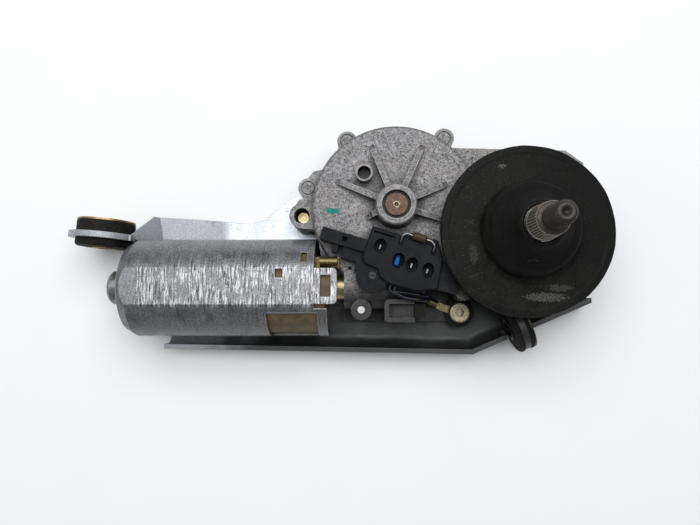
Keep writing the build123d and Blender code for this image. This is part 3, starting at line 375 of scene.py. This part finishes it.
def dusty_rubber(name, tint, dust=0.35, smudges=(), edge=0.5, dark_above=None):
    """Old moulded rubber: matte skin with dust, pale crumbs, wipe marks and smudges.

    With dark_above set, as on the boot, it is darker above that height and toward one side.
    """
    f = Finish(name, Specular_IOR_Level=0.12)
    cloud = f.noise(7.0, 5.0, 0.65, 0.8)
    powder = f.noise(0.5, 5.0, 0.75)
    skin = f.noise(0.18, 3.0, 0.6)
    colour = f.mix(f.fade(cloud, 0.35, 0.65), scaled(tint, 0.6), scaled(tint, 1.35))
    dusted = f.calc("MULTIPLY", f.fade(cloud, 0.40, 0.75), f.fade(powder, 0.42, 0.66, dust))
    colour = f.mix(dusted, colour, (0.060, 0.055, 0.047))
    crumbs = f.fade(f.noise(0.45, 2.0, 0.5, seed=7), 0.69, 0.73)
    colour = f.mix(crumbs, colour, (0.12, 0.115, 0.105))
    wipes = f.fade(f.noise(1.0, 4.0, 0.6, 0.6, stretch=(7, 1.6, 1), seed=8), 0.60, 0.74, 0.35)
    colour = f.mix(wipes, colour, (0.055, 0.052, 0.048))
    if dark_above:
        crown = f.reach_along((0.0, 0.0, 1.0), dark_above, dark_above + 3.0, 2.0)
        colour = f.mix(f.calc("MULTIPLY", crown, 0.7), colour, scaled(tint, 0.25))
        shade = f.reach_along((0.94, 0.34, 0.0), -5.0, 30.0)
        colour = f.mix(f.calc("MULTIPLY", shade, 0.6), colour, scaled(tint, 0.35))
    for centre, size, turn, share in smudges:
        dusty = f.fade(powder, 0.36, 0.60, share)
        mark = f.calc("MULTIPLY", f.patch(centre, size, turn, ragged=0.8, grain=0.8), dusty)
        colour = f.mix(mark, colour, (0.17, 0.165, 0.155))
    colour = f.mix(f.calc("MULTIPLY", f.edges(edge), 0.22), colour, (0.09, 0.088, 0.085))
    rough = f.calc("ADD", f.fade(cloud, 0.3, 0.7, 0.2), 0.56)
    relief = f.calc("ADD", f.calc("MULTIPLY", skin, 0.4), f.calc("MULTIPLY", powder, 0.6))
    return f.finish(colour, rough, relief, depth=0.06, edge=0.3)


def moulded_plastic(name, tint, dust=0.3, roughness=0.38, dust_tint=(0.30, 0.29, 0.27)):
    """Moulded plastic: fine texture, patchy dust, scuff streaks and pale dusty edges."""
    f = Finish(name, Specular_IOR_Level=0.14)
    cloud = f.noise(5.0, 4.0, 0.6, 0.4)
    fine = f.noise(0.25, 3.0, 0.6)
    colour = f.mix(f.fade(cloud, 0.3, 0.7), scaled(tint, 0.75), scaled(tint, 1.3))
    powder = f.fade(f.noise(0.6, 5.0, 0.75, seed=9), 0.52, 0.72, dust)
    colour = f.mix(powder, colour, dust_tint)
    scuffs = f.fade(f.noise(0.3, 3.0, 0.5, 0.2, stretch=(12, 1.5, 1), seed=10), 0.66, 0.72, 0.5)
    colour = f.mix(scuffs, colour, scaled(dust_tint, 0.9))
    colour = f.mix(f.calc("MULTIPLY", f.edges(0.3), 0.30), colour, dust_tint)
    rough = f.calc("ADD", f.fade(cloud, 0.3, 0.7, 0.18), roughness)
    relief = f.calc("ADD", f.calc("MULTIPLY", fine, 0.6), f.calc("MULTIPLY", scuffs, 0.4))
    return f.finish(colour, rough, relief, depth=0.03, edge=0.25)


def wire_skin(name, tint, dust_tint):
    """Soft wire insulation: slightly glossy, with dust along it."""
    f = Finish(name, Specular_IOR_Level=0.3)
    dust = f.noise(0.6, 4.0, 0.7, stretch=(4, 1, 1))
    colour = f.mix(f.fade(dust, 0.45, 0.7, 0.5), tint, dust_tint)
    return f.finish(colour, f.fade(dust, 0.2, 0.8, 0.5), f.noise(0.2, 2.0), depth=0.02, edge=0.0)


def wound_copper(name):
    """Enamelled wire laid side by side: fine ribs and a copper brown tint."""
    f = Finish(name, Metallic=0.7)
    turns = f.noise(0.3, 2.0, 0.5, stretch=(1, 20, 20))
    colour = f.mix(f.fade(turns, 0.35, 0.65), (0.16, 0.05, 0.02), (0.62, 0.27, 0.12))
    colour = f.mix(f.fade(f.noise(2.0, 4.0), 0.5, 0.75, 0.6), colour, (0.25, 0.17, 0.07))
    return f.finish(colour, f.fade(turns, 0.2, 0.9, 0.6), turns, depth=0.15, edge=0.0)


def sintered(name, tint, metallic=0.6):
    """Sintered or ceramic piece: granular, with dark pores."""
    f = Finish(name, Metallic=metallic)
    grain = f.noise(0.18, 4.0, 0.7)
    pores = f.fade(f.noise(0.3, 3.0, 0.6, seed=11), 0.60, 0.68)
    colour = f.mix(f.fade(grain, 0.3, 0.7), scaled(tint, 0.65), scaled(tint, 1.25))
    colour = f.mix(pores, colour, scaled(tint, 0.25))
    rough = f.calc("ADD", f.fade(grain, 0.3, 0.7, 0.25), 0.4)
    return f.finish(colour, rough, f.calc("SUBTRACT", grain, pores), depth=0.06, edge=0.15)


def make_finishes():
    """Finishes by the record's slot names and, where a piece has its own, by node name."""
    return {
        "plate_steel": plate_zinc("plated_sheet", (0.36, 0.38, 0.41)),
        "bracket_plate": plate_zinc("plated_bracket", (0.47, 0.495, 0.535), 0.96),
        "rubber": dusty_rubber("old_rubber", (0.012, 0.011, 0.010), 0.2),
        "zinc": turned_metal("zinc_plate", (0.34, 0.32, 0.28), 0.25),
        "cast_aluminium": cast_metal("cast_alloy", (0.22, 0.215, 0.21)),
        "gasket": dusty_rubber("gasket_paper", (0.03, 0.028, 0.025), 0.1),
        "yellow_zinc": turned_metal("yellow_zinc", (0.50, 0.43, 0.24), roughness=0.3,
                                    stain=(0.32, 0.29, 0.18)),
        "can_steel": can_zinc("can_zinc"),
        "ferrite": sintered("ferrite", (0.06, 0.06, 0.065), 0.0),
        "bronze": sintered("bronze", (0.45, 0.28, 0.13), 0.8),
        "bright_steel": turned_metal("bright_steel", (0.42, 0.42, 0.42)),
        "core_steel": turned_metal("laminations", (0.28, 0.28, 0.29), 0.1, roughness=0.4),
        "copper": wound_copper("wound_copper"),
        "tan_plastic": moulded_plastic("tan_plastic", (0.135, 0.10, 0.058), 0.2, 0.5,
                                       (0.20, 0.17, 0.12)),
        "carbon": sintered("graphite", (0.03, 0.03, 0.032), 0.1),
        "wheel_plastic": moulded_plastic("acetal", (0.66, 0.64, 0.56), 0.3, 0.35,
                                         (0.35, 0.27, 0.14)),
        "brass": turned_metal("stamped_brass", (0.72, 0.54, 0.24), stain=(0.35, 0.24, 0.10)),
        "black_plastic": moulded_plastic("black_plastic", (0.004, 0.0045, 0.006), 0.12, 0.42,
                                         (0.06, 0.063, 0.072)),
        "suppressor": moulded_plastic("dipped_resin", (0.045, 0.030, 0.016), 0.3, 0.22,
                                      (0.14, 0.11, 0.07)),
        "wire_insulation": wire_skin("wire_skin", (0.005, 0.006, 0.010), (0.018, 0.019, 0.024)),
        "blue_insulation": wire_skin("blue_wire", (0.01, 0.10, 0.34), (0.10, 0.30, 0.62)),
        "choke_coil": turned_metal("olive_winding", (0.17, 0.13, 0.05), 0.1,
                                   stain=(0.06, 0.045, 0.02)),
        "brush_terminal": turned_metal("dull_lug", (0.15, 0.11, 0.05), 0.1,
                                       stain=(0.07, 0.05, 0.025)),
        "ring_terminal": turned_metal("olive_lug", (0.16, 0.14, 0.07), 0.1,
                                      stain=(0.05, 0.045, 0.03)),
        "ground_screw": turned_metal("pale_screw", (0.36, 0.32, 0.21), roughness=0.35,
                                     stain=(0.30, 0.27, 0.19)),
        "terminal_pins": turned_metal("tarnished_pins", (0.16, 0.16, 0.15), 0.1,
                                      stain=(0.05, 0.05, 0.05)),
        "connector_screw": turned_metal("dark_screw", (0.035, 0.036, 0.04),
                                        stain=(0.02, 0.02, 0.02)),
        "side_screw": turned_metal("dull_screw", (0.12, 0.115, 0.10), 0.2,
                                   stain=(0.06, 0.055, 0.05)),
        "left_grommet_sleeve": turned_metal("brassy_collar", (0.38, 0.28, 0.14), 0.25,
                                            stain=(0.16, 0.10, 0.05)),
        "lower_grommet_sleeve": turned_metal("sooty_collar", (0.05, 0.045, 0.04), 0.25,
                                             stain=(0.02, 0.02, 0.02)),
        "gearbox_cover": cast_metal("cover_alloy", (0.225, 0.216, 0.218), 3.0, cover_paint),
        "rubber_boot": dusty_rubber("boot_rubber", (0.0092, 0.0087, 0.0078), 0.22, SMUDGES,
                                    edge=0.9, dark_above=50.5),
        "wheel_axle": turned_metal("brown_axle", (0.085, 0.055, 0.038), 0.3, (0.07, 0.032, 0.015), 0.32,
                                   (0.07, 0.045, 0.028), worn_centre),
        "hub_bush": sintered("sooty_bush", (0.030, 0.022, 0.015), 0.3),
        "wiper_spindle": turned_metal("old_spindle", (0.62, 0.57, 0.49), 0.28,
                                      (0.07, 0.035, 0.018), 0.34, (0.14, 0.11, 0.08), rusty_stud),
    }


def dress_cad_nodes(finishes):
    """Give every CAD node the finish of its slot, or its own."""
    slots = {part["node"]: part["material_slot"] for part in frame["record"]["subparts"]}
    for name, node in NODES.items():
        node.data.materials.clear()
        node.data.materials.append(finishes.get(name) or finishes[slots[name]])
    return slots


# ---- mesh building ----
def rounded(points, radii, steps=5):
    """Outline with each corner turned into an arc of its own radius (0 keeps it sharp)."""
    made = []
    last = len(points) - 1
    for k, (point, radius) in enumerate(zip(points, radii)):
        here = Vector(point)
        if radius <= 0 or k in (0, last):
            made.append(here)
            continue
        back = Vector(points[k - 1]) - here
        ahead = Vector(points[k + 1]) - here
        half = back.angle(ahead) / 2
        cut = min(radius / math.tan(half), 0.48 * back.length, 0.48 * ahead.length)
        start = here + back.normalized() * cut
        end = here + ahead.normalized() * cut
        for step in range(steps + 1):
            t = step / steps
            made.append(start * (1 - t) ** 2 + here * 2 * t * (1 - t) + end * t * t)
    return made


def lathe(name, outline, columns, surface=None, closed=True):
    """Mesh turned about Z from (radius, height) points.

    surface(radius, height, angle) may move each point. Closed joins the outline's last point
    to its first, as for a ring; otherwise both ends get a flat face.
    """
    vertices, faces = [], []
    rows = len(outline)
    for radius, height in outline:
        for column in range(columns):
            angle = 2 * math.pi * column / columns
            r, z = surface(radius, height, angle) if surface else (radius, height)
            vertices.append((r * math.cos(angle), r * math.sin(angle), z))
    for row in range(rows if closed else rows - 1):
        for column in range(columns):
            a = row * columns + column
            b = row * columns + (column + 1) % columns
            c = (b + columns) % (rows * columns)
            d = (a + columns) % (rows * columns)
            faces.append((a, b, c, d))
    if not closed:
        faces.append(tuple(reversed(range(columns))))
        faces.append(tuple(range((rows - 1) * columns, rows * columns)))
    mesh = bpy.data.meshes.new(name)
    mesh.from_pydata(vertices, [], faces)
    mesh.update()
    mesh.shade_smooth()
    made = bpy.data.objects.new(name, mesh)
    bpy.context.scene.collection.objects.link(made)
    return made


def settle(piece, node, finish, place=Matrix.Identity(4)):
    """Scale a piece made in millimetres, put it in place of a CAD node and dress it."""
    piece.data.transform(place @ Matrix.Scale(MM, 4))
    piece.data.materials.append(finish)
    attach(piece, BODY_OF[node])
    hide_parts(node)
    return piece


def make_boot(finishes):
    """Rubber boot: foot, wide rim with a rolled edge, domed crown and gathered lip."""
    corners = [  # radius, height and the radius of the bend there
        (9.5, 30.2, 0), (14.0, 30.2, 1), (16.5, 33.0, 1), (16.5, 38.2, 1), (24.0, 39.0, 3),
        (33.4, 39.6, 0.8), (33.4, 42.4, 0.9), (30.6, 42.6, 0.6), (29.8, 42.4, 0.6), (21.0, 43.0, 3),
        (18.6, 43.8, 1.2), (18.2, 47.0, 3), (17.3, 51.6, 3), (16.2, 53.4, 1.4), (13.0, 55.4, 6),
        (9.6, 58.6, 5), (8.3, 62.4, 1.0), (7.3, 63.0, 0.5), (6.6, 62.2, 0.4), (6.6, 61.0, 1),
        (12.0, 56.0, 1), (10.5, 54.0, 0.5), (9.5, 53.0, 0),
    ]
    crown, rim = 17.0, 33.4
    rim_underside = 39.0

    def aged(radius, height, angle):
        """Rubber that has taken a slight set: the rim waves and the crown leans."""
        outer = max(0.0, (radius - crown) / (rim - crown))
        place = Vector((math.cos(angle) * radius, math.sin(angle) * radius, height)) / 9.0
        wave = noise.noise(place)
        skin = noise.noise(place * 6.0)
        free = min(1.0, max(0.0, (radius - 11.0) / 4.0)) if height > rim_underside else 0.0
        drawn_in = radius * (1 - 0.004 * outer * (1 + wave)) + 0.05 * skin * free
        return drawn_in, height - 0.25 * outer * (1 + wave)

    outline = rounded([corner[:2] for corner in corners], [corner[2] for corner in corners])
    boot = lathe("boot", outline, columns=288, surface=aged)
    return settle(boot, "rubber_boot", finishes["rubber_boot"])


def axis_place(mount):
    """Matrix that takes a piece made round Z to a mount's own axis and place."""
    turn = Vector((0, 0, 1)).rotation_difference(Vector(mount["axis"])).to_matrix().to_4x4()
    return Matrix.Translation(Vector(mount["pos_m"])) @ turn


def make_grommet(side, radius, above, below, finishes):
    """Rubber grommet with rolled flanges and a shallow groove in its lower face."""
    # Half the width and the radius of the groove that the ear sits in.
    slot = 1.25
    groove = radius - 3.5
    # The mount is at the middle of the sleeve, which stands past the rubber by this much above
    # and below; the outline's heights start from the middle of the ear.
    collar, stand = 0.8, 0.4
    shift = (below + stand - above - collar) / 2
    rim = radius - 0.05
    lower = [(5.2, -below + 0.3), (6.2, -below), (7.4, -below), (7.7, -below + 0.4),
             (8.4, -below + 0.4), (8.7, -below), (radius - 0.9, -below), (rim, -below + 0.8),
             (rim, -slot - 0.3), (radius - 0.4, -slot), (groove, -slot)]
    upper = [(groove, slot), (radius - 0.4, slot), (rim, slot + 0.4), (rim, above - 0.5),
             (radius - 0.5, above), (5.2, above)]
    bends = [0.1, 0.4, 0.2, 0.15, 0.15, 0.2, 0.8, 0.6, 0.2, 0.2, 0.1, 0.1, 0.2, 0.3, 0.4, 0.1, 0.1]
    outline = [(r, z + shift) for r, z in lower + upper]
    ring = lathe(f"{side}_rubber", rounded(outline, bends, steps=3), columns=96)
    place = axis_place(MOUNTS[f"{side}_grommet_bore"])
    return settle(ring, f"{side}_grommet", finishes["rubber"], place)


def make_spindle(finishes):
    """Wiper spindle: journal, splined taper, and a rolled M8 thread with a centred tip."""
    pitch, thread_depth = 1.25, 0.62
    splines, spline_depth = 40, 0.55
    seat_low, seat_high = 63.8, 74.2
    thread_low, tip = 75.0, 88.0
    seat_rows, thread_rows = 24, 170

    def seat_radius(z):
        return 6.45 - 0.55 * (z - seat_low) / (seat_high - seat_low)

    outline = [(4.9, 10.0), (5.0, 10.3), (5.0, 56.5), (4.5, 56.6), (4.5, 57.8), (5.0, 57.9),
               (5.0, 61.8), (6.0, 62.9), (6.35, 63.3), (6.45, seat_low)]
    for k in range(1, seat_rows + 1):
        z = seat_low + (seat_high - seat_low) * k / seat_rows
        outline.append((seat_radius(z), z))
    outline += [(5.1, 74.5), (4.05, 74.55), (3.75, thread_low)]
    for k in range(1, thread_rows + 1):
        outline.append((4.0, thread_low + (tip - 1.0 - thread_low) * k / thread_rows))
    outline += [(3.6, 87.3), (3.0, 87.8), (2.7, tip), (1.5, tip), (1.3, tip - 0.25),
                (0.5, tip - 0.9), (0.15, tip - 1.0)]

    def cut(radius, z, angle):
        """Cut the splines into the seat and the thread into the stud."""
        if seat_low <= z <= seat_high:
            wave = abs(((angle * splines / (2 * math.pi)) % 1.0) * 2 - 1)
            run_out = min(1.0, (z - seat_low) / 0.8, (seat_high - z) / 0.8 + 0.15)
            spot = Vector((math.cos(angle) * 3, math.sin(angle) * 3, z / 2))
            worn = 0.75 + 0.25 * noise.noise(spot)
            return radius - spline_depth * wave * run_out * worn, z
        if thread_low <= z and radius > 3.65:
            wave = abs(((z / pitch - angle / (2 * math.pi)) % 1.0) * 2 - 1)
            crest = min(1.0, max(0.0, 1.25 * wave - 0.12))
            spot = Vector((math.cos(angle) * 6, math.sin(angle) * 6, z * 1.5))
            dent = 0.05 * noise.noise(spot)
            run_out = min(1.0, (z - thread_low) / 1.0)
            return radius - thread_depth * (1 - crest) * run_out - abs(dent), z
        return radius, z

    shaft = lathe("spindle_shaft", outline, columns=240, surface=cut, closed=False)
    return settle(shaft, "wiper_spindle", finishes["wiper_spindle"])


# ---- scene ----
def make_floor():
    """Plain pale floor under the part."""
    height = cad_box[0][2]
    mesh = bpy.data.meshes.new("floor")
    reach = 4.0
    mesh.from_pydata([(-reach, -reach, height), (reach, -reach, height), (reach, reach, height),
                      (-reach, reach, height)], [], [(0, 1, 2, 3)])
    floor = bpy.data.objects.new("floor", mesh)
    bpy.context.scene.collection.objects.link(floor)
    paper = Finish("paper", Specular_IOR_Level=0.2)
    tone = paper.mix(paper.noise(40.0, 4.0), (0.92, 0.92, 0.92), (0.95, 0.95, 0.95))
    floor.data.materials.append(paper.finish(tone, 0.8, edge=0.0))


def add_light(name, place, target, size, watts, colour=(1, 1, 1)):
    """Soft rectangular lamp aimed at a point."""
    data = bpy.data.lights.new(name, "AREA")
    data.shape = "RECTANGLE"
    data.size, data.size_y = size
    data.energy = watts
    data.color = colour
    lamp = bpy.data.objects.new(name, data)
    lamp.location = place
    lamp.rotation_euler = (Vector(target) - Vector(place)).to_track_quat("-Z", "Y").to_euler()
    bpy.context.scene.collection.objects.link(lamp)


def light_scene():
    """A large lamp overhead, a weak one from the left and a dim even sky."""
    world = bpy.data.worlds.new("studio")
    world.use_nodes = True
    sky = world.node_tree.nodes["Background"]
    sky.inputs["Color"].default_value = (0.93, 0.96, 1.0, 1.0)
    sky.inputs["Strength"].default_value = 0.24
    bpy.context.scene.world = world
    middle = (-0.06, 0.0, 0.02)
    add_light("overhead", (-0.04, 0.30, 0.80), middle, (1.0, 0.75), 8.2, (0.97, 0.985, 1.0))
    add_light("side", (-0.7, -0.1, 0.5), middle, (0.5, 0.4), 0.5)
    bpy.context.scene.view_settings.view_transform = "Standard"


def add_camera():
    """Camera above the motor, looking almost straight down the spindle."""
    # The part's axes as the camera sees them, right and up in its picture and toward it. They
    # are the rows of the camera's rotation, and in them the spindle leans a little left and up.
    spindle = Vector((-0.0342, 0.0758, 1.0)).normalized()
    length = (Vector((1, 0, 0)) - spindle * spindle.x).normalized()
    turn = Matrix((length, spindle.cross(length), spindle))
    data = bpy.data.cameras.new("camera")
    sensor = 36.0
    data.sensor_width = sensor
    # This lens gives the photo's field of view.
    data.lens = sensor * 6.0 / 7.0
    data.clip_start = 0.01
    camera = bpy.data.objects.new("camera", data)
    camera.matrix_world = Matrix.Translation((-0.0603, -0.02955, 0.272)) @ turn.to_4x4()
    bpy.context.scene.collection.objects.link(camera)
    bpy.context.scene.camera = camera


add_camera()
finishes = make_finishes()
slots = dress_cad_nodes(finishes)
make_boot(finishes)
make_grommet("left", radius=12.0, above=6.4, below=4.6, finishes=finishes)
make_grommet("lower", radius=11.0, above=2.8, below=3.6, finishes=finishes)
make_spindle(finishes)
make_floor()
light_scene()
